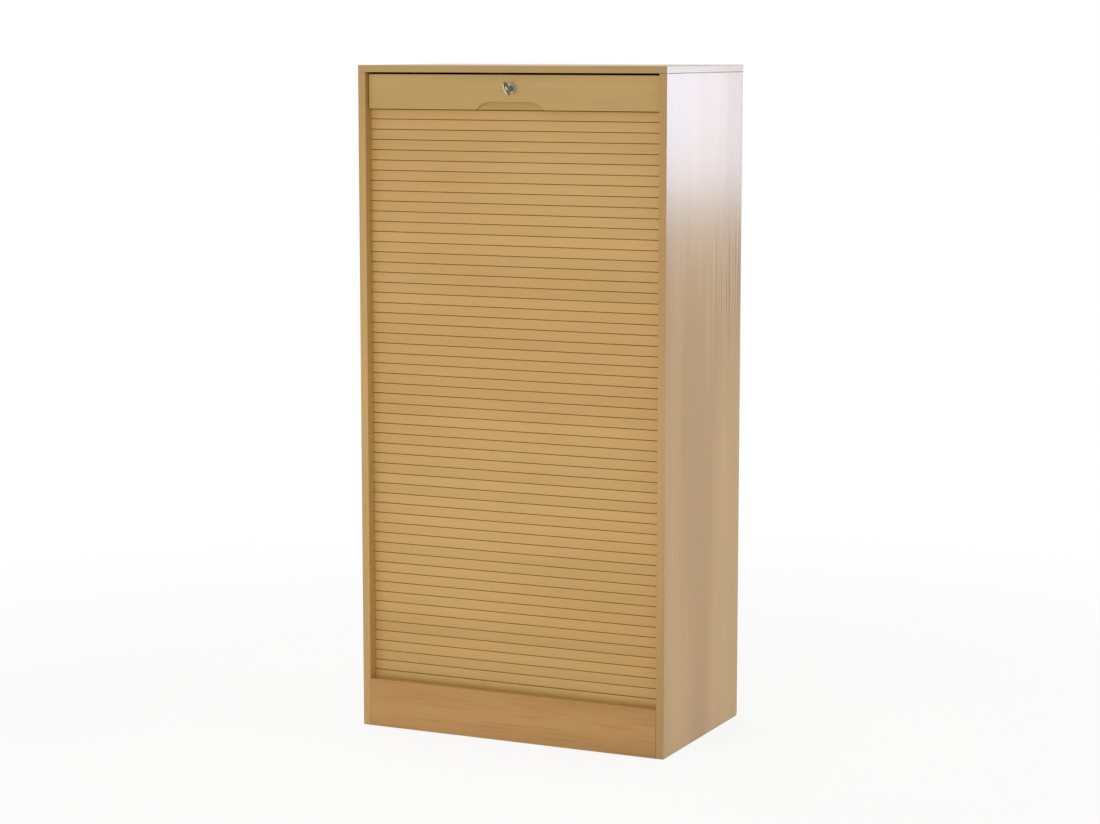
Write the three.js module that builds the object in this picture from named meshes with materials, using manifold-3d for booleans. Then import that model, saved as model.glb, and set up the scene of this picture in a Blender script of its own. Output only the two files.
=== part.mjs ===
// Tambour door cabinet: a free-standing cupboard in faced board. Its slatted shutter closes
// upwards. It opens by sliding down behind the plinth, under the bottom panel and up behind
// a false back, in tracks routed into the side panels.
// Millimetres, +Z up, front towards -Y. The origin is on the floor, at the centre of the
// space that the cabinet takes up with its key in the lock.

import * as THREE from "three";
import { mergeVertices } from "three/addons/utils/BufferGeometryUtils.js";
import Module from "manifold-3d";

const wasm = await Module();
wasm.setup();

// Cabinet boards
const width = 667;
const depth = 400;
const height = 1345;
const sideThickness = 16;
const topThickness = 14;
const bottomThickness = 16;
const plinthThickness = 16;
const plinthHeight = 98;
const hardboardThickness = 3;
const topRearOverhang = 6;
const backPanelInset = 1;
const backPanelFloorGap = 5;

// Gap between pieces that touch, and how far a cutting shape passes the face it cuts
const seam = 0.3;
const overrun = 2;

// Slats of the shutter, joined in sections of a few slats
const slatPitch = 20.45;
const slatThickness = 7;
const slatSetback = 24;
const slatsPerSection = 4;
const slatGrooveDepth = 2.6;
const slatGrooveMouth = 1.7;
const slatGrooveFloor = 0.5;
const tailProud = 0.2;

// Track routed into each side panel
const trackDepth = 9;
const trackClearance = 0.5;
const slatEndClearance = 1;
const slatRunningGap = 2;
const curveRadius = 50;
const curveEase = 1;
const trackFloorHeight = 26;
const trackEndSpare = 20;
const rearCavity = 24;
const falseBackGrooveDepth = 6;

// Lead rail of the shutter, with a finger pull in its bottom edge
const railHeight = 68.5;
const railSetback = 12;
const railTopGap = 4;
const railSideGap = 1.5;
const pullWidth = 151;
const pullFlatWidth = 86;
const pullHeight = 15.5;
const pullOffset = -2.5;
const pullDepth = 6;

// Shelves on pins
const shelfThickness = 16;
const compartmentHeight = 330;
const shelfSetback = 50;
const shelfSideGap = 1;
const shelfRearGap = 1;
const pinShankDiameter = 5;
const pinPegDiameter = 7;
const pinHoleDepth = 10;
const pinReach = 8;
const pinInset = 37;
const pinHoleStep = 32;

// Dowels that hold the boards
const dowelDiameter = 8;
const dowelLength = 28;
const dowelDepthInTop = 8;
const dowelDepthInSide = 10;
const topDowelFrontInset = 70;
const topDowelRearInset = 70;
const bottomDowelInset = 50;
const plinthDowelEdgeInset = 30;

// Cylinder lock in the lead rail
const lockDrop = 26.5;
const barrelDiameter = 16;
const barrelHeadDiameter = 20;
const barrelHeadThickness = 2;
const barrelTail = 4;
const nutAcrossFlats = 22;
const nutThickness = 3;
const plugDiameter = 11;
const plugProud = 0.4;
const plugTail = 0.5;
const keyTurnDegrees = 22;

// Cam on the plug's rear end, with a nose that catches the strike plate, and its screw
const camThickness = 2;
const camHubRadius = 7;
const camArmWidth = 10;
const camNoseReach = 12;
const camNoseHeight = 5;
const camTopGap = 1.2;
const camScrewHeadDiameter = 8;
const camScrewHeadThickness = 2.4;
const camScrewDiameter = 3;
const camScrewDepth = 5;

// Strike plate under the top panel, and its screws
const strikeThickness = 2;
const strikeWidth = 8;
const strikeReach = 24;
const strikeFlange = 36;
const strikePlay = 2.5;
const strikeSideClearance = 2;
const strikeScrewDiameter = 3.5;
const strikeScrewHeadDiameter = 7;
const strikeScrewHeadThickness = 2.2;
const strikeScrewLength = 10;
const strikeScrewShares = [0.3, 0.76];

// Key
const keyThickness = 2;
const keyBladeWidth = 8;
const keyBladeLength = 17;
const keyNeck = 6;
const keyBowLength = 24;
const keyBowWidth = 28;
const keyHoleDiameter = 9;
const keyHoleShare = 0.3;
const keyNotchDepth = 1.6;
const keyNotchShares = [0.2, 0.42, 0.64];
const keyNotchWidth = 2.4;

// Facets of round pieces and of the nut
const finePieceSides = 40;
const smallPieceSides = 16;
const nutSides = 6;
const curveSteps = 10;
const mergeTolerance = 1e-3;

// Finishes, from the photographed cabinet
const beech = { color: 0xbd9963, roughness: 0.55, metalness: 0 };
const slatBeech = { color: 0xc19d64, roughness: 0.5, metalness: 0 };
const hardboard = { color: 0x8f6a41, roughness: 0.85, metalness: 0 };
const dowelWood = { color: 0xd8bd92, roughness: 0.8, metalness: 0 };
const chrome = { color: 0xc9c8c4, roughness: 0.25, metalness: 1 };
const zinc = { color: 0xa9aaa6, roughness: 0.4, metalness: 1 };

// Places across the cabinet
const innerHalf = width / 2 - sideThickness;
const slatHalfLength = innerHalf + trackDepth - slatEndClearance;
const plinthHalf = innerHalf - seam;

// Places from front to back
const lockFaceSetback = railSetback - barrelHeadThickness - plugProud;
const keyOverhang = keyNeck + keyBowLength - lockFaceSetback;
const frontY = (keyOverhang - depth) / 2;
const backY = frontY + depth;
const sideBackY = backY - topRearOverhang;
const railFrontY = frontY + railSetback;
const slatFrontY = frontY + slatSetback;
const slatBackY = slatFrontY + slatThickness;
const railThickness = slatBackY - railFrontY;
const trackFrontY = slatFrontY + slatThickness / 2;
const backPanelFrontY = sideBackY + seam;
const trackRearY = backPanelFrontY - rearCavity / 2;
const falseBackRearY = backPanelFrontY - rearCavity;
const falseBackFrontY = falseBackRearY - hardboardThickness;
const bottomPanelFrontY = slatBackY + slatRunningGap;
const shelfFrontY = frontY + shelfSetback;
const shelfRearY = falseBackFrontY - shelfRearGap;

// Heights
const topPanelBottom = height - topThickness;
const sideHeight = topPanelBottom - seam;
const railTop = topPanelBottom - railTopGap;
const railBottom = railTop - railHeight;
const lockHeight = railTop - lockDrop;
const bottomPanelBottom = plinthHeight - bottomThickness;
const curveCentreZ = trackFloorHeight + curveRadius;

// As many whole sections as reach down from the closed rail to the plinth. The rail slides
// down by their full height, and the tail carries on below them.
const sectionHeight = slatsPerSection * slatPitch;
const sectionCount = Math.floor((railBottom - plinthHeight) / sectionHeight);
const travel = sectionCount * sectionHeight;
const tailTop = railBottom - travel;

// As many shelves as the height holds, each above a full compartment.
const shelfPitch = compartmentHeight + shelfThickness;
const shelfCount = Math.floor((topPanelBottom - plinthHeight) / shelfPitch);

// The rear run ends where the last slat of the opened shutter comes to rest.
const bottomRunLength = trackRearY - trackFrontY - 2 * curveRadius;
const openShutterLength = travel + travel + sectionHeight;
const frontRunLength = railBottom - curveCentreZ;
const rearRunLength = openShutterLength - frontRunLength - bottomRunLength - Math.PI * curveRadius;
const trackRearTop = curveCentreZ + rearRunLength + trackEndSpare;

// Closed mesh to solid, and back.
function solidOf(geometry) {
  const bare = geometry.index ? geometry.toNonIndexed() : geometry.clone();
  bare.deleteAttribute("normal");
  bare.deleteAttribute("uv");
  const merged = mergeVertices(bare, mergeTolerance);
  return new wasm.Manifold(
    new wasm.Mesh({
      numProp: 3,
      vertProperties: merged.attributes.position.array,
      triVerts: new Uint32Array(merged.index.array),
    })
  );
}

function geometryOf(solid) {
  const mesh = solid.getMesh();
  const geometry = new THREE.BufferGeometry();
  geometry.setAttribute("position", new THREE.BufferAttribute(mesh.vertProperties, 3));
  geometry.setIndex(new THREE.BufferAttribute(mesh.triVerts, 1));
  geometry.computeVertexNormals();
  return geometry;
}

function cut(geometry, cutters) {
  let solid = solidOf(geometry);
  for (const cutter of cutters) solid = solid.subtract(solidOf(cutter));
  return geometryOf(solid);
}

function join(geometry, additions) {
  let solid = solidOf(geometry);
  for (const addition of additions) solid = solid.add(solidOf(addition));
  return geometryOf(solid);
}

// A block between two values on each axis, in either order.
function block(x, y, z) {
  const size = [x, y, z].map(([from, to]) => Math.abs(to - from));
  const centre = [x, y, z].map(([from, to]) => (from + to) / 2);
  return new THREE.BoxGeometry(...size).translate(...centre);
}

// Round bars along each axis, between two values on that axis.
function barAlongX(diameter, [from, to], y, z, sides = smallPieceSides) {
  const bar = new THREE.CylinderGeometry(diameter / 2, diameter / 2, Math.abs(to - from), sides);
  return bar.rotateZ(Math.PI / 2).translate((from + to) / 2, y, z);
}

function barAlongY(diameter, x, [from, to], z, sides = smallPieceSides) {
  const bar = new THREE.CylinderGeometry(diameter / 2, diameter / 2, Math.abs(to - from), sides);
  return bar.translate(x, (from + to) / 2, z);
}

function barAlongZ(diameter, x, y, [from, to], sides = smallPieceSides) {
  const bar = new THREE.CylinderGeometry(diameter / 2, diameter / 2, Math.abs(to - from), sides);
  return bar.rotateX(Math.PI / 2).translate(x, y, (from + to) / 2);
}

// An outline drawn in Y and Z, drawn out along X.
function prismAlongX(shape, [from, to]) {
  const low = Math.min(from, to);
  const axes = new THREE.Matrix4().makeBasis(
    new THREE.Vector3(0, 1, 0),
    new THREE.Vector3(0, 0, 1),
    new THREE.Vector3(1, 0, 0)
  );
  const options = { depth: Math.abs(to - from), bevelEnabled: false, curveSegments: curveSteps };
  return new THREE.ExtrudeGeometry(shape, options).applyMatrix4(axes).translate(low, 0, 0);
}

// An outline drawn in X and Z, drawn out along Y.
function prismAlongY(shape, [from, to]) {
  const options = { depth: Math.abs(to - from), bevelEnabled: false, curveSegments: curveSteps };
  const prism = new THREE.ExtrudeGeometry(shape, options).rotateX(Math.PI / 2);
  return prism.translate(0, Math.max(from, to), 0);
}

// Track outline in the side panel: front run, curve, bottom run, curve and rear run. The
// curves are eased on their inner side, where the flat slats cut across the bend.
function trackShape() {
  const half = slatThickness / 2 + trackClearance;
  const outerRadius = curveRadius + half;
  const innerRadius = curveRadius - half - curveEase;
  const frontCurveY = trackFrontY + curveRadius;
  const rearCurveY = trackRearY - curveRadius;
  const openTop = sideHeight + overrun;
  const quarter = Math.PI / 2;
  const shape = new THREE.Shape();
  shape.moveTo(trackFrontY - half, openTop);
  shape.lineTo(trackFrontY - half, curveCentreZ);
  shape.absarc(frontCurveY, curveCentreZ, outerRadius, 2 * quarter, 3 * quarter, false);
  shape.absarc(rearCurveY, curveCentreZ, outerRadius, 3 * quarter, 4 * quarter, false);
  shape.lineTo(trackRearY + half, trackRearTop);
  shape.lineTo(trackRearY - half, trackRearTop);
  shape.lineTo(trackRearY - half, curveCentreZ);
  shape.absarc(rearCurveY, curveCentreZ, innerRadius, 4 * quarter, 3 * quarter, true);
  shape.lineTo(rearCurveY, trackFloorHeight + half);
  shape.lineTo(frontCurveY, trackFloorHeight + half);
  shape.absarc(frontCurveY, curveCentreZ, innerRadius, 3 * quarter, 2 * quarter, true);
  shape.lineTo(trackFrontY + half, curveCentreZ);
  shape.lineTo(trackFrontY + half, openTop);
  return shape;
}

// Centres of the pins under one shelf, the same on both sides.
const pinRows = [shelfFrontY + pinInset, shelfRearY - pinInset];

function shelfBottom(index) {
  return plinthHeight + index * shelfPitch + compartmentHeight;
}

function pinHeight(index) {
  return shelfBottom(index) - seam - pinPegDiameter / 2;
}

// Dowel centres: across the side panel's thickness for the top, and on each board's middle.
const sideMiddle = width / 2 - sideThickness / 2;
const topDowelRows = [frontY + topDowelFrontInset, sideBackY - topDowelRearInset];
const bottomDowelRows = [bottomPanelFrontY + bottomDowelInset, falseBackRearY - bottomDowelInset];
const bottomDowelHeight = plinthHeight - bottomThickness / 2;
const plinthDowelY = frontY + plinthThickness / 2;
const plinthDowelHeights = [plinthDowelEdgeInset, plinthHeight - plinthDowelEdgeInset];
const dowelHoleDiameter = dowelDiameter + 2 * seam;
const topDowelSpan = [topPanelBottom + dowelDepthInTop - dowelLength, topPanelBottom + dowelDepthInTop];

function sideDowelSpan(side, gap = 0) {
  const outer = innerHalf + dowelDepthInSide;
  return [side * (outer + gap), side * (outer - dowelLength - gap)];
}

function topDowelHoles(side) {
  const [low, high] = topDowelSpan;
  const span = [low - seam, high + seam];
  return topDowelRows.map((y) => barAlongZ(dowelHoleDiameter, side * sideMiddle, y, span));
}

function bottomDowelHoles(side) {
  const span = sideDowelSpan(side, seam);
  return bottomDowelRows.map((y) => barAlongX(dowelHoleDiameter, span, y, bottomDowelHeight));
}

function plinthDowelHoles(side) {
  const span = sideDowelSpan(side, seam);
  return plinthDowelHeights.map((z) => barAlongX(dowelHoleDiameter, span, plinthDowelY, z));
}

// Blind holes for the shelf pins: the one in use, one below and one above.
function pinHoles(side) {
  const holes = [];
  const span = [side * (innerHalf - overrun), side * (innerHalf + pinHoleDepth)];
  const diameter = pinShankDiameter + 2 * seam;
  for (let index = 0; index < shelfCount; index++)
    for (const y of pinRows)
      for (const step of [-1, 0, 1])
        holes.push(barAlongX(diameter, span, y, pinHeight(index) + step * pinHoleStep));
  return holes;
}

function sidePanel(side) {
  const board = block([side * innerHalf, (side * width) / 2], [frontY, sideBackY], [0, sideHeight]);
  const inside = side * (innerHalf - overrun);
  const track = prismAlongX(trackShape(), [inside, side * (innerHalf + trackDepth)]);
  const falseBackGroove = block(
    [inside, side * (innerHalf + falseBackGrooveDepth)],
    [falseBackFrontY - seam, falseBackRearY + seam],
    [plinthHeight, sideHeight + overrun]
  );
  return cut(board, [
    track,
    falseBackGroove,
    ...topDowelHoles(side),
    ...bottomDowelHoles(side),
    ...plinthDowelHoles(side),
    ...pinHoles(side),
  ]);
}

function topPanel() {
  const board = block([-width / 2, width / 2], [frontY, backY], [topPanelBottom, height]);
  const screwHoles = strikeScrewPlaces().map((x) =>
    barAlongZ(strikeScrewDiameter + 2 * seam, x, strikeY, [
      topPanelBottom - overrun,
      strikeScrewTop + seam,
    ])
  );
  return cut(board, [...topDowelHoles(-1), ...topDowelHoles(1), ...screwHoles]);
}

function bottomPanel() {
  const board = block(
    [-innerHalf + seam, innerHalf - seam],
    [bottomPanelFrontY, falseBackRearY],
    [bottomPanelBottom, plinthHeight]
  );
  return cut(board, [...bottomDowelHoles(-1), ...bottomDowelHoles(1)]);
}

function plinthBoard() {
  const board = block([-plinthHalf, plinthHalf], [frontY, frontY + plinthThickness], [0, plinthHeight]);
  return cut(board, [...plinthDowelHoles(-1), ...plinthDowelHoles(1)]);
}

function backPanel() {
  const half = width / 2 - backPanelInset;
  const faces = [backPanelFrontY, backPanelFrontY + hardboardThickness];
  return block([-half, half], faces, [backPanelFloorGap, sideHeight]);
}

function falseBack() {
  const half = innerHalf + falseBackGrooveDepth - seam;
  return block([-half, half], [falseBackFrontY, falseBackRearY], [plinthHeight + seam, sideHeight]);
}

function shelf() {
  const half = innerHalf - shelfSideGap;
  return block([-half, half], [shelfFrontY, shelfRearY], [0, shelfThickness]);
}

// Shank in the panel's hole and thicker peg under the shelf, turned about the pin's own axis.
function shelfPin() {
  const shank = pinShankDiameter / 2;
  const peg = pinPegDiameter / 2;
  const profile = [
    new THREE.Vector2(0, -(pinHoleDepth - seam)),
    new THREE.Vector2(shank, -(pinHoleDepth - seam)),
    new THREE.Vector2(shank, seam),
    new THREE.Vector2(peg, seam),
    new THREE.Vector2(peg, pinReach),
    new THREE.Vector2(0, pinReach),
  ];
  return new THREE.LatheGeometry(profile, smallPieceSides);
}

// The shutter's path in Y and Z, by its length from the top of the tail: the front run first,
// then the curve. The normal points to the slats' face.
function shutterPath(length) {
  const straight = tailTop - curveCentreZ;
  const centreY = trackFrontY + curveRadius;
  if (length <= straight)
    return { place: new THREE.Vector2(trackFrontY, tailTop - length), normal: new THREE.Vector2(-1, 0) };
  const angle = Math.PI + (length - straight) / curveRadius;
  const normal = new THREE.Vector2(Math.cos(angle), Math.sin(angle));
  const place = new THREE.Vector2(centreY, curveCentreZ).addScaledVector(normal, curveRadius);
  return { place, normal };
}

// Outline of a run of slats between joints: flat faces parted by tapered grooves.
function slatShape(joints, proud) {
  const back = joints.map(({ place, normal }) => place.clone().addScaledVector(normal, -slatThickness / 2));
  const face = [];
  joints.forEach(({ place, normal }, index) => {
    const mouth = place.clone().addScaledVector(normal, slatThickness / 2 + proud);
    const floor = place.clone().addScaledVector(normal, slatThickness / 2 - slatGrooveDepth);
    const down = new THREE.Vector2(-normal.y, normal.x);
    if (index > 0) {
      face.push(mouth.clone().addScaledVector(down, -slatGrooveMouth / 2));
      face.push(floor.clone().addScaledVector(down, -slatGrooveFloor / 2));
    }
    if (index < joints.length - 1) {
      face.push(floor.clone().addScaledVector(down, slatGrooveFloor / 2));
      face.push(mouth.clone().addScaledVector(down, slatGrooveMouth / 2));
    }
  });
  return new THREE.Shape([...face, ...back.reverse()]);
}

const slatSpan = [-slatHalfLength, slatHalfLength];

// One straight section of slats, with its lower end at zero height.
function tambourSection() {
  const joints = [];
  for (let slat = slatsPerSection; slat >= 0; slat--) {
    const place = new THREE.Vector2(trackFrontY, slat * slatPitch);
    joints.push({ place, normal: new THREE.Vector2(-1, 0) });
  }
  joints[0].place.y -= seam;
  return prismAlongX(slatShape(joints, 0), slatSpan);
}

// The last slats, which stay below the visible ones and follow the track's curve.
function tambourTail() {
  const joints = [];
  for (let slat = 0; slat <= slatsPerSection; slat++) joints.push(shutterPath(slat * slatPitch));
  joints[0] = shutterPath(seam);
  return prismAlongX(slatShape(joints, tailProud), slatSpan);
}

// Finger pull outline in X and Z: a flat top between two rounded ends.
function pullShape() {
  const bottom = railBottom - overrun;
  const top = railBottom + pullHeight;
  const [left, right] = [pullOffset - pullWidth / 2, pullOffset + pullWidth / 2];
  const [flatLeft, flatRight] = [pullOffset - pullFlatWidth / 2, pullOffset + pullFlatWidth / 2];
  const shape = new THREE.Shape();
  shape.moveTo(left, bottom);
  shape.lineTo(right, bottom);
  shape.lineTo(right, railBottom);
  shape.quadraticCurveTo(flatRight + pullHeight, top, flatRight, top);
  shape.lineTo(flatLeft, top);
  shape.quadraticCurveTo(flatLeft - pullHeight, top, left, railBottom);
  return shape;
}

function leadRail() {
  const half = innerHalf - railSideGap;
  const board = block([-half, half], [railFrontY, slatBackY], [railBottom, railTop]);
  const tongues = block(slatSpan, [slatFrontY, slatBackY], [railBottom, railTop]);
  const pull = prismAlongY(pullShape(), [railFrontY - overrun, railFrontY + pullDepth]);
  const boreSpan = [railFrontY - overrun, slatBackY + overrun];
  const bore = barAlongY(barrelDiameter + 2 * seam, 0, boreSpan, lockHeight, finePieceSides);
  return cut(join(board, [tongues]), [pull, bore]);
}

// Lock pieces are drawn about the lock's axis, from the rail's front face: rearwards is +Y.
const barrelRear = railThickness + barrelTail;
const plugFront = -barrelHeadThickness - plugProud;
const plugRear = barrelRear + plugTail;
const camFront = plugRear + seam;
const camRear = camFront + camThickness;
const camScrewHoleDiameter = camScrewDiameter + 2 * seam;
const camHalf = camArmWidth / 2;
const camTipRadius = lockDrop + railTopGap - camTopGap;
const camTip = Math.sqrt(camTipRadius ** 2 - camNoseReach ** 2);
const camNoseBottom = camTip - camNoseHeight;

// A turned shell whose profile of radius and depth closes on itself.
function lockBarrel() {
  const bore = plugDiameter / 2 + seam;
  const profile = [
    new THREE.Vector2(bore, -barrelHeadThickness),
    new THREE.Vector2(barrelHeadDiameter / 2, -barrelHeadThickness),
    new THREE.Vector2(barrelHeadDiameter / 2, -seam),
    new THREE.Vector2(barrelDiameter / 2, -seam),
    new THREE.Vector2(barrelDiameter / 2, barrelRear),
    new THREE.Vector2(bore, barrelRear),
    new THREE.Vector2(bore, -barrelHeadThickness),
  ];
  return new THREE.LatheGeometry(profile, finePieceSides);
}

function lockNut() {
  const corner = nutAcrossFlats / Math.sqrt(3);
  const front = railThickness + seam;
  const span = [front, front + nutThickness];
  const hexagon = barAlongY(2 * corner, 0, span, 0, nutSides);
  const boreSpan = [span[0] - overrun, span[1] + overrun];
  return cut(hexagon, [barAlongY(barrelDiameter + 2 * seam, 0, boreSpan, 0, finePieceSides)]);
}

function lockPlug() {
  const body = barAlongY(plugDiameter, 0, [plugFront, plugRear], 0, finePieceSides);
  const halfSlot = keyThickness / 2 + seam;
  const halfBlade = keyBladeWidth / 2 + seam;
  const slotSpan = [plugFront - overrun, plugFront + keyBladeLength + seam];
  const keyway = block([-halfSlot, halfSlot], slotSpan, [-halfBlade, halfBlade]);
  const screwSpan = [plugRear - camScrewDepth - seam, plugRear + overrun];
  return cut(body, [keyway, barAlongY(camScrewHoleDiameter, 0, screwSpan, 0)]);
}

// Arm with a round hub and a nose to one side, drawn upright and laid towards +X.
function lockCam() {
  const hubAngle = Math.acos(camHalf / camHubRadius);
  const shape = new THREE.Shape();
  shape.moveTo(-camHalf, camNoseBottom);
  shape.lineTo(-camHalf, camHubRadius * Math.sin(hubAngle));
  shape.absarc(0, 0, camHubRadius, Math.PI - hubAngle, 2 * Math.PI + hubAngle, false);
  shape.lineTo(camHalf, camTip);
  shape.lineTo(-camNoseReach, camTip);
  shape.lineTo(-camNoseReach, camNoseBottom);
  const plate = prismAlongY(shape, [camFront, camRear]);
  const holeSpan = [camFront - overrun, camRear + overrun];
  return cut(plate, [barAlongY(camScrewHoleDiameter, 0, holeSpan, 0)]).rotateY(Math.PI / 2);
}

function camScrew() {
  const headFront = camRear + seam;
  const head = barAlongY(camScrewHeadDiameter, 0, [headFront, headFront + camScrewHeadThickness], 0);
  const shank = barAlongY(camScrewDiameter, 0, [plugRear - camScrewDepth, headFront + overrun], 0);
  return join(head, [shank]);
}

// Flat key: notched blade, and an oval bow with a ring hole, in the plane of the lock's axis.
function key() {
  const half = keyBladeWidth / 2;
  const tip = plugFront + keyBladeLength;
  const bowRear = plugFront - keyNeck;
  const bowCentre = bowRear - keyBowLength / 2;
  const joinAngle = Math.asin(keyBladeWidth / keyBowWidth);
  const shape = new THREE.Shape();
  shape.moveTo(tip, -half + keyNotchDepth);
  shape.lineTo(tip, half - keyNotchDepth);
  shape.lineTo(tip - keyNotchDepth, half);
  shape.absellipse(
    bowCentre,
    0,
    keyBowLength / 2,
    keyBowWidth / 2,
    joinAngle,
    2 * Math.PI - joinAngle,
    false
  );
  for (const share of keyNotchShares) {
    const middle = plugFront + share * keyBladeLength;
    shape.lineTo(middle - keyNotchWidth / 2, -half);
    shape.lineTo(middle, -half + keyNotchDepth);
    shape.lineTo(middle + keyNotchWidth / 2, -half);
  }
  shape.lineTo(tip - keyNotchDepth, -half);
  const hole = new THREE.Path();
  hole.absarc(bowCentre - keyHoleShare * (keyBowLength / 2), 0, keyHoleDiameter / 2, 0, 2 * Math.PI, true);
  shape.holes.push(hole);
  return prismAlongX(shape, [-keyThickness / 2, keyThickness / 2]);
}

// Strike plate: a flange under the top panel, a leg down from it, and a ledge below the cam's nose.
const strikeY = railFrontY + (camFront + camRear) / 2;
const strikeTop = topPanelBottom - seam;
const strikeLedgeTop = lockHeight + camNoseBottom - strikePlay;
const strikeFlangeStart = -strikeReach - strikeThickness;
const strikeScrewTop = strikeTop - strikeThickness - seam + strikeScrewLength;

function strikeScrewPlaces() {
  return strikeScrewShares.map((share) => strikeFlangeStart - share * strikeFlange);
}

function strikePlate() {
  const ledgeEnd = -camHalf - strikeSideClearance;
  const ledgeBottom = strikeLedgeTop - strikeThickness;
  const flangeEnd = strikeFlangeStart - strikeFlange;
  const shape = new THREE.Shape();
  shape.moveTo(ledgeEnd, ledgeBottom);
  shape.lineTo(ledgeEnd, strikeLedgeTop);
  shape.lineTo(-strikeReach, strikeLedgeTop);
  shape.lineTo(-strikeReach, strikeTop);
  shape.lineTo(flangeEnd, strikeTop);
  shape.lineTo(flangeEnd, strikeTop - strikeThickness);
  shape.lineTo(strikeFlangeStart, strikeTop - strikeThickness);
  shape.lineTo(strikeFlangeStart, ledgeBottom);
  const plate = prismAlongY(shape, [strikeY - strikeWidth / 2, strikeY + strikeWidth / 2]);
  const holeSpan = [strikeTop - strikeThickness - overrun, strikeTop + overrun];
  const holeDiameter = strikeScrewDiameter + 2 * seam;
  return cut(
    plate,
    strikeScrewPlaces().map((x) => barAlongZ(holeDiameter, x, strikeY, holeSpan))
  );
}

function strikeScrew(x) {
  const headTop = strikeTop - strikeThickness - seam;
  const headSpan = [headTop - strikeScrewHeadThickness, headTop];
  const head = barAlongZ(strikeScrewHeadDiameter, x, strikeY, headSpan);
  return join(head, [barAlongZ(strikeScrewDiameter, x, strikeY, [headSpan[0], strikeScrewTop])]);
}

const cabinet = new THREE.Group();

function add(name, geometry, finish, parent = cabinet) {
  const mesh = new THREE.Mesh(geometry, new THREE.MeshStandardMaterial(finish));
  mesh.name = name;
  parent.add(mesh);
  return mesh;
}

const sides = [
  { word: "left", side: -1 },
  { word: "right", side: 1 },
];
const rows = ["front", "rear"];

for (const { word, side } of sides) add(`side_panel_${word}`, sidePanel(side), beech);
add("top_panel", topPanel(), beech);
add("bottom_panel", bottomPanel(), beech);
add("plinth_board", plinthBoard(), beech);
add("back_panel", backPanel(), hardboard);
add("false_back", falseBack(), hardboard);

const dowelAcross = new THREE.CylinderGeometry(
  dowelDiameter / 2,
  dowelDiameter / 2,
  dowelLength,
  smallPieceSides
).rotateZ(Math.PI / 2);
const dowelUpright = dowelAcross.clone().rotateY(Math.PI / 2);
const topDowelMiddle = (topDowelSpan[0] + topDowelSpan[1]) / 2;

for (const { word, side } of sides) {
  const [outer, inner] = sideDowelSpan(side);
  const dowelMiddle = (outer + inner) / 2;
  rows.forEach((row, index) => {
    const top = add(`dowel_top_${word}_${row}`, dowelUpright, dowelWood);
    top.position.set(side * sideMiddle, topDowelRows[index], topDowelMiddle);
    const bottom = add(`dowel_bottom_${word}_${row}`, dowelAcross, dowelWood);
    bottom.position.set(dowelMiddle, bottomDowelRows[index], bottomDowelHeight);
  });
  ["lower", "upper"].forEach((level, index) => {
    const plinth = add(`dowel_plinth_${word}_${level}`, dowelAcross, dowelWood);
    plinth.position.set(dowelMiddle, plinthDowelY, plinthDowelHeights[index]);
  });
}

for (let index = 0; index < shelfCount; index++) {
  const board = add(`shelf_${index + 1}`, shelf(), beech);
  board.position.z = shelfBottom(index);
  for (const { word, side } of sides)
    rows.forEach((row, place) => {
      const pin = add(`shelf_pin_${index + 1}_${word}_${row}`, shelfPin(), zinc);
      pin.rotation.z = (side * Math.PI) / 2;
      pin.position.set(side * innerHalf, pinRows[place], pinHeight(index));
    });
}

const section = tambourSection();
for (let index = 0; index < sectionCount; index++) {
  const number = String(index + 1).padStart(2, "0");
  add(`tambour_section_${number}`, section, slatBeech).position.z = tailTop + index * sectionHeight;
}
add("tambour_tail", tambourTail(), slatBeech);
add("lead_rail", leadRail(), beech);

const lock = new THREE.Group();
lock.position.set(0, railFrontY, lockHeight);
cabinet.add(lock);
add("lock_barrel", lockBarrel(), chrome, lock);
add("lock_nut", lockNut(), zinc, lock);

const turning = new THREE.Group();
turning.rotation.y = -THREE.MathUtils.degToRad(keyTurnDegrees);
lock.add(turning);
add("lock_plug", lockPlug(), chrome, turning);
add("lock_cam", lockCam(), zinc, turning);
add("cam_screw", camScrew(), zinc, turning);
add("key", key(), chrome, turning);

add("strike_plate", strikePlate(), zinc);
strikeScrewPlaces().forEach((x, index) => add(`strike_screw_${index + 1}`, strikeScrew(x), zinc));

export default cabinet;
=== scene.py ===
import math

import bmesh
import bpy
from mathutils import Matrix, Vector


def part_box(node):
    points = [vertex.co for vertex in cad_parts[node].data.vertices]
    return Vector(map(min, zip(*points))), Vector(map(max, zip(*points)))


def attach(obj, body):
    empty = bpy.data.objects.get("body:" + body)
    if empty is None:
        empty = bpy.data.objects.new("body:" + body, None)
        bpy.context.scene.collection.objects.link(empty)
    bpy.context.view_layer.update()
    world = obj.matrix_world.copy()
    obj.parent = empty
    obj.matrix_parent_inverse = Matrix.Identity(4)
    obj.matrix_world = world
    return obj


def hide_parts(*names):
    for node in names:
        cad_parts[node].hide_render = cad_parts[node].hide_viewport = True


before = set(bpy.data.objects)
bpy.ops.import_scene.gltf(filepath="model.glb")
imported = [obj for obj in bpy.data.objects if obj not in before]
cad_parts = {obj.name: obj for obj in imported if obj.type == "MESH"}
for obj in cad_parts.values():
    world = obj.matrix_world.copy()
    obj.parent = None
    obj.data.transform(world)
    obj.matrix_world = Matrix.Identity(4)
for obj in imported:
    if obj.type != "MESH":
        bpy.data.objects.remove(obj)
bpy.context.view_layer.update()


# Side panels: 16 mm chipboard faced with beech-printed melamine and edged in the same print.
# The shutter's track and the groove of the false back are routed into the inner faces, and
# the holes for dowels and shelf pins are drilled, so the chipboard shows in all of them.

weld_distance = 2e-6
flush_distance = 1e-5
panel_easing = 0.0007


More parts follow.
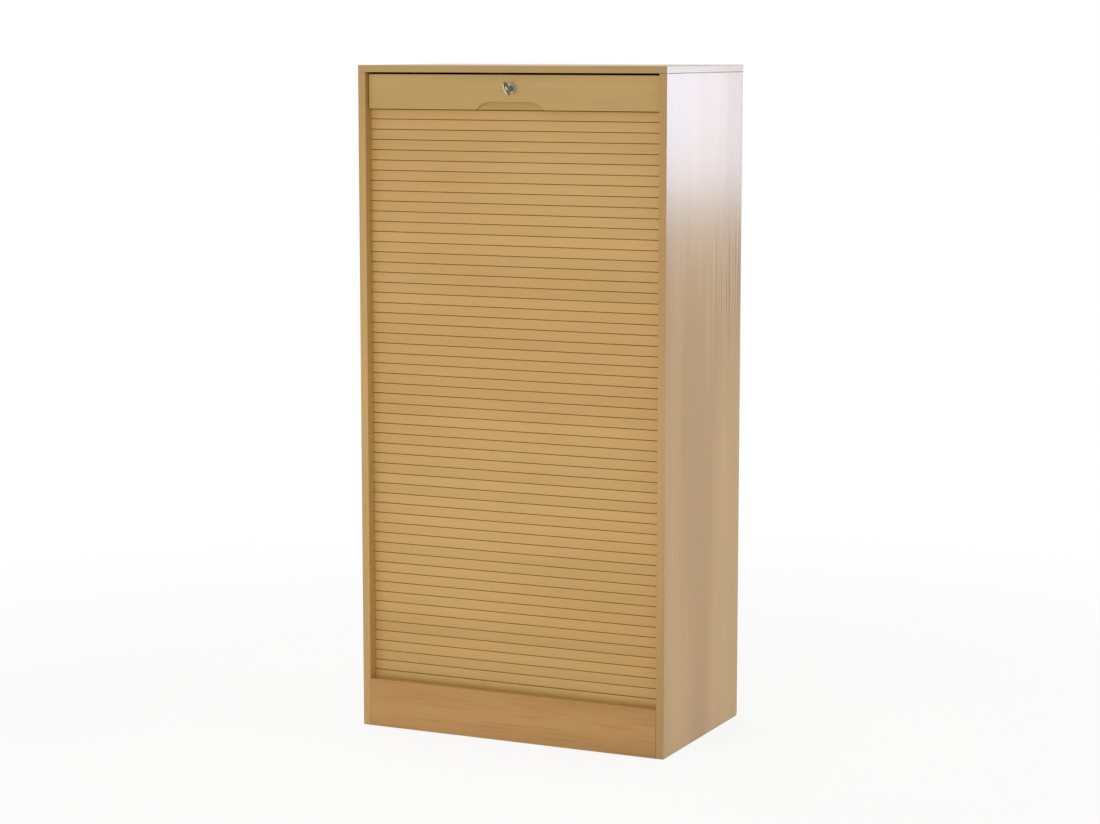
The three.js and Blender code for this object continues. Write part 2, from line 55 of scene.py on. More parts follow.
class Amount:
    """A number that varies over a finish. Sums on it add the nodes that work them out."""

    def __init__(self, finish, socket):
        self.finish = finish
        self.socket = socket

    def __add__(self, other):
        return self.finish.sum("ADD", self, other)

    def __radd__(self, other):
        return self.finish.sum("ADD", other, self)

    def __sub__(self, other):
        return self.finish.sum("SUBTRACT", self, other)

    def __rsub__(self, other):
        return self.finish.sum("SUBTRACT", other, self)

    def __mul__(self, other):
        return self.finish.sum("MULTIPLY", self, other)

    def __rmul__(self, other):
        return self.finish.sum("MULTIPLY", other, self)

    def __truediv__(self, other):
        return self.finish.sum("DIVIDE", self, other)

    def __rtruediv__(self, other):
        return self.finish.sum("DIVIDE", other, self)

    def within(self, low, high):
        """0 below low, 1 above high and a smooth rise between them."""
        return self.finish.node(
            "ShaderNodeMapRange",
            {"interpolation_type": "SMOOTHSTEP"},
            {"Value": self, "From Min": low, "From Max": high},
        )


class Finish:
    """The nodes of one finish: of a material, or of the surround."""

    def __init__(self, owner):
        owner.use_nodes = True
        self.owner = owner
        self.tree = owner.node_tree
        self.tree.nodes.clear()

    def node(self, kind, settings, values, output=0):
        """Adds a node, with its settings first, and returns one of its outputs."""
        made = self.tree.nodes.new(kind)
        for setting, value in settings.items():
            setattr(made, setting, value)
        for name, value in values.items():
            if isinstance(value, Amount):
                self.tree.links.new(value.socket, made.inputs[name])
            else:
                made.inputs[name].default_value = value
        return Amount(self, made.outputs[output]) if made.outputs else None

    def sum(self, operation, first, second):
        return self.node("ShaderNodeMath", {"operation": operation}, {0: first, 1: second})

    def blend(self, share, first, second):
        """From the first colour to the second, by a share from 0 to 1."""
        return self.node("ShaderNodeMix", {"data_type": "RGBA"}, {0: share, 6: first, 7: second}, 2)

    def shaded(self, shade, strength):
        """A colour made lighter or darker by a number near 1."""
        return self.node(
            "ShaderNodeVectorMath", {"operation": "SCALE"}, {0: shade, "Scale": strength}
        )

    def place(self):
        return self.node("ShaderNodeTexCoord", {}, {}, "Object")

    def place_on(self, axis):
        """The place on the piece along one axis alone, in metres."""
        return self.node("ShaderNodeSeparateXYZ", {}, {"Vector": self.place()}, axis)

    def stretched(self, across, along, axis, start=(0, 0, 0)):
        """The place on the piece, at so many spans a metre across the grain and along it."""
        scale = [across, across, across]
        scale["XYZ".index(axis)] = along
        return self.node(
            "ShaderNodeMapping", {}, {"Vector": self.place(), "Location": start, "Scale": scale}
        )

    def noise(self, place, detail, roughness):
        return self.node(
            "ShaderNodeTexNoise",
            {},
            {"Vector": place, "Scale": 1.0, "Detail": detail, "Roughness": roughness},
        )

    def surface(self, values, height, relief, strength):
        """Ends the finish with its surface, raised by the height times the relief in metres."""
        normal = self.node(
            "ShaderNodeBump", {}, {"Height": height, "Distance": relief, "Strength": strength}
        )
        shader = self.node("ShaderNodeBsdfPrincipled", {}, {**values, "Normal": normal})
        self.node("ShaderNodeOutputMaterial", {}, {"Surface": shader})
        return self.owner


def colour(code):
    """A colour written as in a paint chart, in the linear values that a shader takes."""
    parts = [int(code[start:start + 2], 16) / 255 for start in (1, 3, 5)]
    linear = [
        part / 12.92 if part <= 0.04045 else ((part + 0.055) / 1.055) ** 2.4 for part in parts
    ]
    return (*linear, 1)


def beech_print(name, axis, start, pale="#C49D61", deep="#B58D53", dash_depth=0.035, bold=None):
    """Beech décor: long soft streaks, a faint flame, and dark dashes and flecks on the grain."""
    finish = Finish(bpy.data.materials.new(name))
    broad = finish.noise(finish.stretched(9, 0.9, axis, start), 2, 0.5)
    streaks = finish.noise(finish.stretched(120, 2.2, axis, start), 3, 0.6)
    hairs = finish.noise(finish.stretched(900, 7, axis, start), 2, 0.6)
    flecks = finish.noise(finish.stretched(1300, 150, axis, start), 1, 0.5).within(0.62, 0.72)
    dashes = finish.noise(finish.stretched(240, 10, axis, start), 1, 0.4).within(0.54, 0.70)
    flame = finish.sum("PINGPONG", broad * 14, 1)
    tone = 1 + (streaks - 0.5) * 0.09 + (hairs - 0.5) * 0.05 + (flame - 0.5) * 0.018
    tone = tone - flecks * 0.10 - dashes * dash_depth
    if bold is not None:
        tone = tone + bold(finish)
    shade = finish.blend(broad.within(0.35, 0.65), colour(deep), colour(pale))
    return finish.surface(
        {
            "Base Color": finish.shaded(shade, tone),
            "Roughness": 0.27 + (streaks - 0.5) * 0.02 + flecks * 0.10,
        },
        height=hairs * 0.4 - flecks,
        relief=0.00006,
        strength=0.08,
    )


def chipboard():
    """Bare chipboard, where it is sawn, routed or drilled: chips of many tones, a little rough."""
    finish = Finish(bpy.data.materials.new("chipboard"))
    chips = finish.node(
        "ShaderNodeTexVoronoi",
        {},
        {"Vector": finish.place(), "Scale": 420.0, "Randomness": 1.0},
        "Color",
    )
    dark = finish.noise(finish.stretched(260, 260, "X"), 3, 0.6)
    chip = finish.node("ShaderNodeSeparateXYZ", {}, {"Vector": chips}, "X")
    shade = finish.blend(chip, colour("#8A6B40"), colour("#C4A272"))
    return finish.surface(
        {"Base Color": finish.shaded(shade, 0.75 + dark * 0.4), "Roughness": 0.85},
        height=chip + dark,
        relief=0.0003,
        strength=0.6,
    )


def merged_copy(node):
    """A CAD solid's mesh with its loose triangles joined into whole flat faces."""
    mesh = bmesh.new()
    mesh.from_mesh(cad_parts[node].data)
    bmesh.ops.remove_doubles(mesh, verts=mesh.verts, dist=weld_distance)
    flat = math.radians(0.4)
    bmesh.ops.dissolve_limit(mesh, angle_limit=flat, verts=mesh.verts, edges=mesh.edges)
    return mesh


def bare_cuts(mesh, node, also=()):
    """Gives the second finish to the faces inside the solid's box, and to those sides of it."""
    low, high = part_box(node)
    for face in mesh.faces:
        middle = face.calc_center_median()
        sides = [
            sign + "xyz"[axis]
            for axis in range(3)
            for sign, edge in (("-", low), ("+", high))
            if abs(middle[axis] - edge[axis]) < flush_distance and abs(face.normal[axis]) > 0.99
        ]
        face.material_index = int(not sides or sides[0] in also)


def round_edges(mesh, edges, radius, segments, clamp=False):
    bmesh.ops.bevel(
        mesh,
        geom=list(edges),
        offset=radius,
        offset_type="OFFSET",
        segments=segments,
        profile=0.5,
        affect="EDGES",
        material=-1,
        clamp_overlap=clamp,
    )


def ease_edges(mesh, node, sides, radius, segments=3):
    """Rounds the sharp edges that lie in the named sides of the solid's box."""
    low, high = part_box(node)
    sharp = math.radians(50)
    chosen = set()
    for side in sides:
        axis = "xyz".index(side[1])
        side_place = (low if side[0] == "-" else high)[axis]
        for edge in mesh.edges:
            flush = all(abs(end.co[axis] - side_place) < flush_distance for end in edge.verts)
            if flush and edge.is_manifold and edge.calc_face_angle() > sharp:
                chosen.add(edge)
    round_edges(mesh, chosen, radius, segments, clamp=True)


def close_joint(mesh, edge, neighbour):
    """Takes the mesh's upper end up to its neighbour, all but a hair."""
    hair = 0.00003
    for corner in mesh.verts:
        if abs(corner.co.z - edge) < flush_distance:
            corner.co.z = neighbour - hair


def add_object(name, data):
    added = bpy.data.objects.new(name, data)
    bpy.context.scene.collection.objects.link(added)
    return added


def make_piece(mesh, name, body, nodes, finishes, smooth=None):
    """Turns the mesh into a piece that rides on a body and stands for its CAD solids."""
    data = bpy.data.meshes.new(name)
    mesh.to_mesh(data)
    mesh.free()
    for finish in finishes:
        data.materials.append(finish)
    if smooth is not None:
        data.shade_smooth()
        data.set_sharp_from_angle(angle=math.radians(smooth))
    piece = add_object(name, data)
    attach(piece, body)
    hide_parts(*nodes)


def bold_grain(finish):
    """Thin dark lines of bolder grain, towards the rear edge and two thirds of the way up."""
    line_spacing = 0.0125
    depth = finish.place_on("Y")
    height = finish.place_on("Z")
    wander = finish.noise(finish.stretched(28, 1.8, "Z", (7, 3, 1)), 1, 0.3)
    own_strength = finish.noise(finish.stretched(60, 3.5, "Z", (2, 6, 4)), 2, 0.5).within(0.3, 0.7)
    between_lines = finish.sum("PINGPONG", depth / line_spacing + wander * 2.2, 0.5)
    dark_line = 1 - between_lines.within(0.02, 0.38)
    boldest = height.within(0.72, 0.89) * (1 - height.within(0.92, 1.12))
    patch = depth.within(-0.06, 0.13) * (0.06 + 0.94 * boldest)
    return patch * (0.18 - dark_line * (0.20 + own_strength * 0.66))


bare_chipboard = chipboard()
side_print = {
    "left": beech_print(
        "beech_print_left_side", "Z", (3.1, 0.7, 0.2), pale="#C7A164", deep="#B79156"
    ),
    "right": beech_print("beech_print_right_side", "Z", (5.3, 2.9, 0.6), bold=bold_grain),
}
for side, outside in (("left", "-x"), ("right", "+x")):
    node = f"side_panel_{side}"
    finishes = [side_print[side], bare_chipboard]
    mesh = merged_copy(node)
    bare_cuts(mesh, node, ("-z", "+z"))
    ease_edges(mesh, node, ("-y", "+y", outside), panel_easing)
    close_joint(mesh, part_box(node)[1].z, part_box("top_panel")[0].z)
    make_piece(mesh, f"side_board_{side}", "carcass", [node], finishes)


# Plinth board and bottom panel: the same faced chipboard, dowelled between the side panels.
# The plinth board stands on the floor with its grain lying across. The bottom panel lies
# behind the shutter, which runs down in front of it and back beneath it.

board_easing = 0.0006
plinth_print = beech_print(
    "beech_print_plinth", "X", (0.4, 4.2, 1.3), pale="#C39455", deep="#B38548", dash_depth=0.13
)
finishes = [plinth_print, bare_chipboard]
mesh = merged_copy("plinth_board")
bare_cuts(mesh, "plinth_board", ("-z", "-x", "+x"))
ease_edges(mesh, "plinth_board", ("-y",), board_easing)
make_piece(mesh, "plinth_front", "carcass", ["plinth_board"], finishes)

finishes = [beech_print("beech_print_bottom", "X", (2.4, 0.2, 3.3)), bare_chipboard]
mesh = merged_copy("bottom_panel")
bare_cuts(mesh, "bottom_panel", ("-x", "+x", "+y"))
ease_edges(mesh, "bottom_panel", ("-y",), board_easing)
make_piece(mesh, "bottom_board", "carcass", ["bottom_panel"], finishes)


# Dowels: beech pins, 8 mm thick, glued into the board ends. They are hidden in the joints, so
# their solids stay as they are and only get the look of plain turned wood.

def dowel_beech(name, axis):
    finish = Finish(bpy.data.materials.new(name))
    fibres = finish.noise(finish.stretched(2200, 60, axis), 2, 0.6)
    rings = finish.noise(finish.stretched(300, 12, axis), 1, 0.5)
    shade = finish.blend(rings, colour("#C9A571"), colour("#DEC597"))
    return finish.surface(
        {"Base Color": finish.shaded(shade, 0.9 + fibres * 0.2), "Roughness": 0.7 + fibres * 0.15},
        height=fibres,
        relief=0.0001,
        strength=0.4,
    )


def dress(node, finish):
    """Gives a CAD solid whose shape stays a finish of its own."""
    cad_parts[node].material_slots[0].material = finish


dowel_across = dowel_beech("dowel_beech_across", "X")
dowel_upright = dowel_beech("dowel_beech_upright", "Z")
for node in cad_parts:
    if node.startswith("dowel_"):
        dress(node, dowel_upright if node.startswith("dowel_top_") else dowel_across)


# Back panel and false back: 3 mm hardboard, smooth on one face. The back panel is nailed
# over the rear edges of the carcass. The false back slides into grooves in the side panels
# and parts the shelves from the opened shutter.

def hardboard(name, pale, deep):
    finish = Finish(bpy.data.materials.new(name))
    clouds = finish.noise(finish.stretched(7, 3, "Z"), 3, 0.5)
    mottles = finish.noise(finish.stretched(110, 80, "Z", (5, 0, 4)), 3, 0.6)
    fibres = finish.noise(finish.stretched(700, 260, "Z", (1, 2, 3)), 4, 0.7)
    specks = finish.noise(finish.stretched(900, 900, "X", (4, 1, 2)), 1, 0.5).within(0.66, 0.74)
    shade = finish.blend(clouds.within(0.3, 0.7), colour(deep), colour(pale))
    tone = 0.72 + fibres * 0.36 + mottles * 0.20 - specks * 0.20
    return finish.surface(
        {"Base Color": finish.shaded(shade, tone), "Roughness": 0.55 + fibres * 0.2},
        height=fibres - specks * 0.5,
        relief=0.0002,
        strength=0.5,
    )


brown_hardboard = hardboard("brown_hardboard", "#9B744A", "#906A42")
for node in ("back_panel", "false_back"):
    dress(node, brown_hardboard)


# Nails: plated steel nails in a row down each side of the back panel. They go through it into
# the rear edges of the side panels, so only their small domed heads show.

def plated_steel(name, shade, rough, axis="X"):
    """Plated steel with a fine brushed grain and a few dull spots."""
    finish = Finish(bpy.data.materials.new(name))
    brushed = finish.noise(finish.stretched(2400, 90, axis), 2, 0.6)
    spots = finish.noise(finish.stretched(160, 160, axis, (2, 5, 1)), 3, 0.6)
    return finish.surface(
        {
            "Base Color": finish.shaded(colour(shade)[:3], 0.88 + spots * 0.24),
            "Metallic": 1.0,
            "Roughness": rough + (brushed - 0.5) * 0.12 + spots.within(0.55, 0.75) * 0.12,
        },
        height=brushed,
        relief=0.00003,
        strength=0.5,
    )


zinc = plated_steel("zinc_plate", "#B9BAB6", 0.34)
nails_in_row = 11
nail_steps = 16
nail_profile = [(0, 0.0005), (0.0011, 0.00045), (0.0019, 0.0003), (0.0023, 0), (0, -0.0004)]
low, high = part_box("back_panel")
mesh = bmesh.new()
for side in ("left", "right"):
    edge_low, edge_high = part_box(f"side_panel_{side}")
    row_x = (edge_low.x + edge_high.x) / 2
    for number in range(nails_in_row):
        row_z = low.z + (high.z - low.z) * (number + 0.5) / nails_in_row
        line = [mesh.verts.new((row_x + radius, high.y + rise, row_z)) for radius, rise in nail_profile]
        bmesh.ops.spin(
            mesh,
            geom=line + [mesh.edges.new(ends) for ends in zip(line, line[1:])],
            axis=(0, 1, 0),
            cent=(row_x, 0, row_z),
            angle=math.tau,
            steps=nail_steps,
            use_merge=True,
        )
bmesh.ops.remove_doubles(mesh, verts=mesh.verts, dist=weld_distance)
bmesh.ops.recalc_face_normals(mesh, faces=mesh.faces)
make_piece(mesh, "back_nails", "carcass", [], [zinc], smooth=40)


# Shelves and their pins: faced chipboard like the carcass, edged front and rear, each on four
# zinc-plated pins that push into rows of drilled holes.

for number in (1, 2, 3):
    node = f"shelf_{number}"
    shelf_print = beech_print(f"beech_print_shelf_{number}", "X", (number * 1.7, 0.9, number * 0.8))
    finishes = [shelf_print, bare_chipboard]
    mesh = merged_copy(node)
    bare_cuts(mesh, node, ("-x", "+x"))
    ease_edges(mesh, node, ("-y", "+y"), board_easing)
    make_piece(mesh, f"shelf_board_{number}", "carcass", [node], finishes)
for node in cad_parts:
    if node.startswith("shelf_pin_"):
        dress(node, zinc)


# Top panel: 14 mm faced chipboard laid on the side panels and dowelled to them, edged all
# round, so the print runs along its ends too. It reaches past the sides at the rear, over the
# back panel.

top_print = beech_print("beech_print_top", "X", (1.9, 5.2, 0.4), pale="#BB9A60", deep="#AE8C53")
end_edging = beech_print("beech_print_edging", "Y", (0.7, 3.2, 2.4), pale="#B7925F", deep="#AC8752")
finishes = [top_print, bare_chipboard, end_edging]
mesh = merged_copy("top_panel")
bare_cuts(mesh, "top_panel")
for face in mesh.faces:
    if abs(face.normal.x) > 0.99 and face.material_index == 0:
        face.material_index = 2
ease_edges(mesh, "top_panel", ("-x", "+x", "-y", "+y", "+z"), panel_easing)
make_piece(mesh, "top_board", "carcass", ["top_panel"], finishes)


# Shutter: beech-printed slats, 7 mm thick with rounded front edges, glued side by side on a
# strip of canvas, with a wider joint below the lead rail. The ends of the slats run in the
# tracks of the side panels.

sections = 14
slats_in_section = 4
slat_pitch = 0.02045
slat_joint = 0.0004
rail_joint = 0.0014
slat_rounding = 0.0010
tail_rounding = 0.0006
canvas_thickness = 0.0008


def slat_print():
    """The slats' beech print. Each is cut from another place, so their tones differ a little."""
    finish = Finish(bpy.data.materials.new("beech_print_slats"))
    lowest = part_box("tambour_section_01")[0].z
    number = finish.sum("FLOOR", (finish.place_on("Z") - lowest) / slat_pitch, 0)
    own_tone = finish.node("ShaderNodeTexWhiteNoise", {"noise_dimensions": "1D"}, {"W": number})
    streaks = finish.noise(finish.stretched(150, 2.6, "X", (0.6, 1.5, 0)), 3, 0.6)
    hairs = finish.noise(finish.stretched(1000, 8, "X"), 2, 0.6)
    flecks = finish.noise(finish.stretched(1300, 150, "X"), 1, 0.5).within(0.62, 0.72)
    clouds = finish.noise(finish.stretched(3.5, 2.0, "X", (4, 0, 2)), 2, 0.5)
    tone = 1 + (own_tone - 0.5) * 0.06 + (streaks - 0.5) * 0.07
    tone = tone + (hairs - 0.5) * 0.04 - flecks * 0.08
    shade = finish.blend(clouds.within(0.35, 0.65), colour("#C59E5E"), colour("#CAA464"))
    return finish.surface(
        {
            "Base Color": finish.shaded(shade, tone),
            "Roughness": 0.38 + (streaks - 0.5) * 0.10 + flecks * 0.15,
        },
        height=hairs * 0.4 - flecks,
        relief=0.00006,
        strength=0.5,
    )


def brown_edge():
    """The print where it is wrapped into the joints between slats, browned and a little rubbed."""
    finish = Finish(bpy.data.materials.new("browned_slat_edge"))
    rubbed = finish.noise(finish.stretched(400, 14, "X", (3, 1, 2)), 3, 0.6)
    shade = finish.blend(rubbed.within(0.3, 0.7), colour("#A06D14"), colour("#B07D20"))
    return finish.surface(
        {"Base Color": finish.shaded(shade, 0.92 + rubbed * 0.16), "Roughness": 0.5 + rubbed * 0.2},
        height=rubbed,
        relief=0.0001,
        strength=0.4,
    )


def canvas():
    """The woven strip behind the slats."""
    finish = Finish(bpy.data.materials.new("backing_canvas"))
    threads = [
        finish.node(
            "ShaderNodeTexWave",
            {"wave_type": "BANDS", "bands_direction": direction},
            {"Vector": finish.place(), "Scale": 320.0, "Distortion": 0.4},
        )
        for direction in ("X", "Z")
    ]
    weave = threads[0] * threads[1]
    return finish.surface(
        {"Base Color": finish.shaded(colour("#7C6243")[:3], 0.7 + weave * 0.6), "Roughness": 0.9},
        height=weave,
        relief=0.0003,
        strength=0.8,
    )


def add_block(mesh, size, centre):
    """Adds a block of a size around its centre, and returns its corners."""
    matrix = Matrix.Translation(centre) @ Matrix.Diagonal((*size, 1))
    return bmesh.ops.create_cube(mesh, size=1, matrix=matrix)["verts"]


slat_finish = slat_print()
finishes = [slat_finish, canvas(), brown_edge()]
for number in range(1, sections + 1):
    node = f"tambour_section_{number:02d}"
    low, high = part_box(node)
    mesh = bmesh.new()
    for slat in range(slats_in_section):
        slat_low = low.z + slat * slat_pitch + slat_joint
        below_rail = number == sections and slat == slats_in_section - 1
        slat_height = slat_pitch - slat_joint - (rail_joint if below_rail else slat_joint)
        size = Vector((high.x - low.x, high.y - low.y - canvas_thickness, slat_height))
        centre = Vector((0, low.y, slat_low)) + Vector((0, size.y, size.z)) / 2
        long_front_edges = {
            edge
            for corner in add_block(mesh, size, centre)
            for edge in corner.link_edges
            if all(abs(end.co.y - low.y) < flush_distance for end in edge.verts)
            and abs(edge.verts[0].co.z - edge.verts[1].co.z) < flush_distance
        }
        round_edges(mesh, long_front_edges, slat_rounding, 4)
    for face in mesh.faces:
        if abs(face.normal.z) > 0.75:
            face.material_index = 2
    size = Vector((high.x - low.x, canvas_thickness, high.z - low.z))
    centre = Vector((0, high.y - canvas_thickness / 2, (low.z + high.z) / 2))
    for corner in add_block(mesh, size, centre):
        for face in corner.link_faces:
            face.material_index = 1
    body = f"section_{number:02d}"
    make_piece(mesh, f"shutter_slats_{number:02d}", body, [node], finishes, smooth=35)

# The last slats, which stay below the visible ones and lie in the curve of the track. Only
# edges that run along a slat, and stand out from it, are rounded.
half_metre = 0.5
mesh = merged_copy("tambour_tail")
long_edges = [
    edge
    for edge in mesh.edges
    if edge.is_manifold
    and abs(edge.verts[0].co.x - edge.verts[1].co.x) > half_metre
    and edge.calc_face_angle_signed() > math.radians(40)
]
round_edges(mesh, long_edges, tail_rounding, 3)
make_piece(mesh, "shutter_slats_tail", "carcass", ["tambour_tail"], [slat_finish], smooth=35)


# Lead rail: a stouter board of solid core, printed like the slats, with tongues that run in
# the tracks. The finger pull is routed into its lower edge and stained to match.

def routed_core():
    """The stained core in the finger pull and the tongues."""
    finish = Finish(bpy.data.materials.new("stained_core"))
    fibres = finish.noise(finish.stretched(900, 40, "X", (1, 1, 1)), 3, 0.6)
    clouds = finish.noise(finish.stretched(60, 12, "X"), 2, 0.5)
    shade = finish.blend(clouds, colour("#B18E50"), colour("#C09D61"))
    tone = 0.92 + fibres * 0.16
    return finish.surface(
        {"Base Color": finish.shaded(shade, tone), "Roughness": 0.55 + fibres * 0.15},
        height=fibres,
        relief=0.00015,
        strength=0.5,
    )


rail_print = beech_print("beech_print_rail", "X", (2.2, 1.1, 0.9), pale="#C8A867", deep="#BD9C5C")
finishes = [rail_print, routed_core()]
mesh = merged_copy("lead_rail")
bare_cuts(mesh, "lead_rail", ("-x", "+x"))
ease_edges(mesh, "lead_rail", ("-y",), panel_easing)
make_piece(mesh, "rail_board", "lead_rail", ["lead_rail"], finishes)


# Lock: a chromed cylinder lock through the lead rail, held by a nut behind. Its plug turns a
# zinc-plated cam, screwed to the plug's end, whose nose catches the strike plate.

chrome = plated_steel("chrome_plate", "#A9ADA6", 0.16, "Y")
# The head's side walls get a dark chrome that is painted shade, a dark outline round the barrel.
painted_shade_chrome = plated_steel("painted_shade_chrome", "#4C504B", 0.34, "Y")
# The plug's chrome is darker than the barrel's, as a painted shadow of the key.
shaded_plug_chrome = plated_steel("shaded_plug_chrome", "#767A74", 0.24, "Y")

low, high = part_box("lock_barrel")
lock_height = (low.z + high.z) / 2
lock_steps = 64
bore_radius = 0.0058
body_radius = 0.008
head_radius = (high.x - low.x) / 2
head_gap = 0.0003
head_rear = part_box("lead_rail")[0].y - head_gap
rim = 0.0008
groove_depth = 0.0002
groove_width = 0.0012
groove_slope = 0.0004
profile = [
    (bore_radius, low.y + groove_depth * 2),
    (bore_radius + groove_slope, low.y + groove_depth),
    (bore_radius + groove_slope + groove_width, low.y + groove_depth),
    (bore_radius + groove_slope * 2 + groove_width, low.y),
    (head_radius - rim, low.y),
    (head_radius - rim * 0.4, low.y + rim * 0.15),
    (head_radius - rim * 0.1, low.y + rim * 0.5),
    (head_radius, low.y + rim),
    (head_radius, head_rear),
    (body_radius, head_rear),
    (body_radius, high.y),
    (bore_radius, high.y),
]
mesh = bmesh.new()
ring = [mesh.verts.new((radius, depth, lock_height)) for radius, depth in profile]
edges = [mesh.edges.new((ring[index - 1], ring[index])) for index in range(len(ring))]
bmesh.ops.spin(
    mesh,
    geom=ring + edges,
    axis=(0, 1, 0),
    cent=(0, 0, lock_height),
    angle=math.tau,
    steps=lock_steps,
    use_merge=True,
)
bmesh.ops.remove_doubles(mesh, verts=mesh.verts, dist=weld_distance)
bmesh.ops.recalc_face_normals(mesh, faces=mesh.faces)
# Faces that look sideways, the head's side walls among them, get the dark chrome of painted shade.
for face in mesh.faces:
    if abs(face.normal.y) < 0.5:
        face.material_index = 1
finishes = [chrome, painted_shade_chrome]
make_piece(mesh, "lock_cylinder", "lead_rail", ["lock_barrel"], finishes, smooth=40)

plug_easing = 0.0002
# The plug is dressed in the darker chrome of painted shade.
mesh = merged_copy("lock_plug")
ease_edges(mesh, "lock_plug", ("-y",), plug_easing, segments=2)
make_piece(mesh, "lock_core", "lock_plug", ["lock_plug"], [shaded_plug_chrome], smooth=40)

for node in ("lock_nut", "lock_cam", "cam_screw"):
    dress(node, zinc)


# Key: a flat stamped key, nickel-plated. Both faces of its bow are pressed in behind a raised
# rim, and are duller there. The walls of the pressed hollows are painted dark, as painted shade.

nickel = plated_steel("nickel_plate", "#D6D2C4", 0.22, "Y")
dull_nickel = plated_steel("dull_nickel", "#B2AE98", 0.40, "Y")
# Dark nickel for the walls of the pressed hollows, as painted shade.
hollow_shade_nickel = plated_steel("painted_shade_nickel", "#3C3424", 0.6, "Y")
bow_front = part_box("key")[0].y
hole_middle = bow_front + 0.0084
shoulder = bow_front + 0.0235
bow_rim = 0.0012
press_wall = 0.0005
press_depth = 0.0003
least_bow_area = 5e-5
mesh = merged_copy("key")
for cut in (hole_middle, shoulder):
    blank = mesh.verts[:] + mesh.edges[:] + mesh.faces[:]
    bmesh.ops.bisect_plane(
        mesh, geom=blank, dist=weld_distance, plane_co=(0, cut, 0), plane_no=(0, 1, 0)
    )
flat_edges = [
    edge
    for edge in mesh.edges
    if edge.calc_face_angle() < math.radians(2)
    and abs(edge.verts[0].co.y - edge.verts[1].co.y) > flush_distance
]
bmesh.ops.dissolve_edges(mesh, edges=flat_edges, use_verts=True)
bow_faces = [
    face
    for face in mesh.faces
    if abs(face.normal.y) < 0.1
    and face.calc_area() > least_bow_area
    and face.calc_center_median().y < shoulder
]
for face in bow_faces:
    face.material_index = 1
# The rim keeps the bright nickel, and the hollows' walls get the dark nickel of painted shade.
for width, depth, finish_number in ((bow_rim, 0, 0), (press_wall, -press_depth, 2)):
    border = bmesh.ops.inset_region(
        mesh,
        faces=bow_faces,
        thickness=width,
        depth=depth,
        use_boundary=True,
        use_even_offset=True,
    )
    for face in border["faces"]:
        face.material_index = finish_number
finishes = [nickel, dull_nickel, hollow_shade_nickel]
make_piece(mesh, "key_blank", "key", ["key"], finishes, smooth=30)


# Strike plate: bent steel under the top panel, on two screws. The cam's nose swings in over its
# ledge. The plate and its screws are painted dark as shade, as they sit in the gap under the top.

# A near-black steel that is painted shade for the gap under the top panel.
shade_dark_steel = plated_steel("shade_dark_steel", "#4A4540", 0.5)
for node in ("strike_plate", "strike_screw_1", "strike_screw_2"):
    dress(node, shade_dark_steel)


# Studio: a plain white floor and surround, with soft light from all round. Broad lamps stand
# in front, on the right and behind, and a narrow one hangs over the top. Two cool ones behind
# on the right show only as a sheen, one in the side panel and one in the top panel's end.

def in_sight(finish):
    """1 for what the camera or shiny metal sees, and 0 for the light that falls on the rest."""
    camera_ray = finish.node("ShaderNodeLightPath", {}, {}, "Is Camera Ray")
    return finish.node("ShaderNodeLightPath", {}, {}, "Is Glossy Ray") + camera_ray


def studio_floor():
    """Matt white. What the camera sees of it is mostly its own white, so its shadow is faint."""
    finish = Finish(bpy.data.materials.new("studio_floor"))
    distance = finish.node(
        "ShaderNodeVectorMath", {"operation": "LENGTH"}, {0: finish.place()}, "Value"
    )
    own_white = in_sight(finish) * (0.88 + 0.12 * distance.within(0.9, 2.6))
    paint = finish.node("ShaderNodeBsdfDiffuse", {}, {"Color": (0.8, 0.8, 0.8, 1)})
    white = finish.node("ShaderNodeEmission", {}, {"Color": (1, 1, 1, 1), "Strength": 1.0})
    mixed = finish.node("ShaderNodeMixShader", {}, {0: own_white, 1: paint, 2: white})
    finish.node("ShaderNodeOutputMaterial", {}, {"Surface": mixed})
    return finish.owner


def surround():
    """Soft white light all round, which the camera and shiny metal see as plain white."""
    finish = Finish(bpy.data.worlds.new("surround"))
    fill = finish.node("ShaderNodeBackground", {}, {"Color": (1, 1, 1, 1), "Strength": 0.62})
    white = finish.node("ShaderNodeBackground", {}, {"Color": (1, 1, 1, 1), "Strength": 1.0})
    mixed = finish.node("ShaderNodeMixShader", {}, {0: in_sight(finish), 1: fill, 2: white})
    finish.node("ShaderNodeOutputWorld", {}, {"Surface": mixed})
    return finish.owner


floor_reach = 30
mesh = bmesh.new()
bmesh.ops.create_grid(mesh, x_segments=1, y_segments=1, size=floor_reach)
data = bpy.data.meshes.new("studio_floor")
mesh.to_mesh(data)
mesh.free()
data.materials.append(studio_floor())
add_object("studio_floor", data)
bpy.context.scene.world = surround()


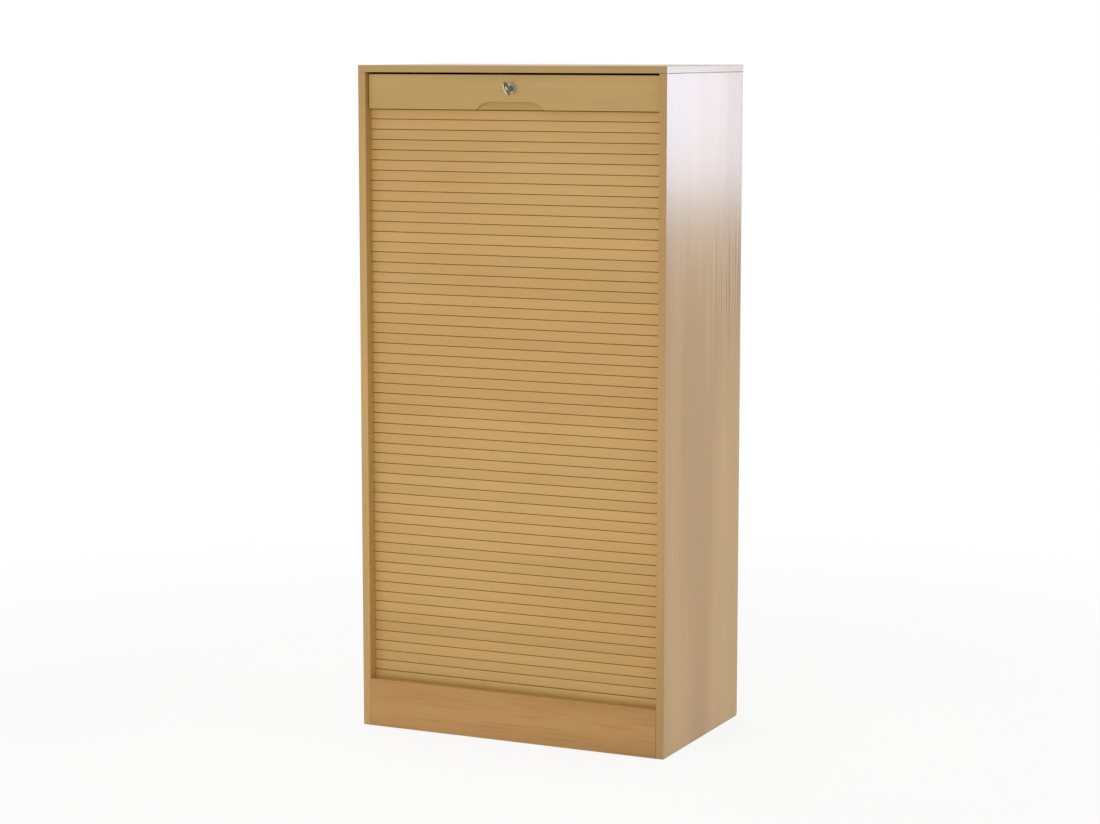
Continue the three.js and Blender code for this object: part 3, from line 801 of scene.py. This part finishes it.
def lamp(name, place, aim, size, power, tint):
    """A soft panel lamp at a place, turned to what it lights and out of the camera's sight."""
    light = bpy.data.lights.new(name, "AREA")
    light.shape = "RECTANGLE"
    light.size, light.size_y = size
    light.energy = power
    light.color = tint
    panel = add_object(name, light)
    panel.location = place
    panel.rotation_mode = "QUATERNION"
    panel.rotation_quaternion = (Vector(aim) - Vector(place)).to_track_quat("-Z", "Y")
    panel.visible_camera = False
    return panel


warm_white = (1, 0.99, 0.97)
cool_white = (0.58, 0.73, 1.0)
front = lamp("front_lamp", (-0.1, -1.75, 0.90), (0, 0, 0.85), (1.2, 1.2), 9.4, warm_white)
front.visible_glossy = False
lamp("right_lamp", (3.0, 0.9, 1.0), (0.33, 0, 0.7), (1.8, 1.8), 18, warm_white)
rear = lamp("rear_lamp", (-1.8, 2.6, 1.3), (-0.1, 0.2, 0.7), (1.8, 1.8), 24, warm_white)
rear.visible_glossy = False
overhead = lamp("overhead_lamp", (0, 0, 3.2), (0, 0, 1.35), (0.4, 0.3), 0.7, warm_white)
overhead.data.spread = math.radians(40)
overhead.visible_glossy = False
for piece_name, lamp_height, lamp_size, power in (
    ("side_board_right", 1.36, (1.32, 0.86), 28.5),
    ("top_board", 1.12, (1.32, 0.42), 22),
):
    place = (1.82, 2.33, lamp_height)
    sheen = lamp(f"sheen_on_{piece_name}", place, (0.33, 0, 1.3), lamp_size, power, cool_white)
    sheen.visible_diffuse = False
    shone_on = bpy.data.collections.new(f"shone_on_{piece_name}")
    shone_on.objects.link(bpy.data.objects[piece_name])
    sheen.light_linking.receiver_collection = shone_on


# Camera: a long lens just above the top and to the right of the front, turned a little down,
# as the cabinet was photographed.

camera = add_object("camera", bpy.data.cameras.new("camera"))
camera.data.lens = 89.18
yaw, pitch = math.radians(25.151), math.radians(7.661)
sight = Vector(
    (-math.sin(yaw) * math.cos(pitch), math.cos(yaw) * math.cos(pitch), -math.sin(pitch))
)
camera.location = (2.3374, -4.9781, 1.3834)
camera.rotation_mode = "QUATERNION"
camera.rotation_quaternion = sight.to_track_quat("-Z", "Y")
bpy.context.scene.camera = camera
bpy.context.scene.view_settings.view_transform = "Standard"
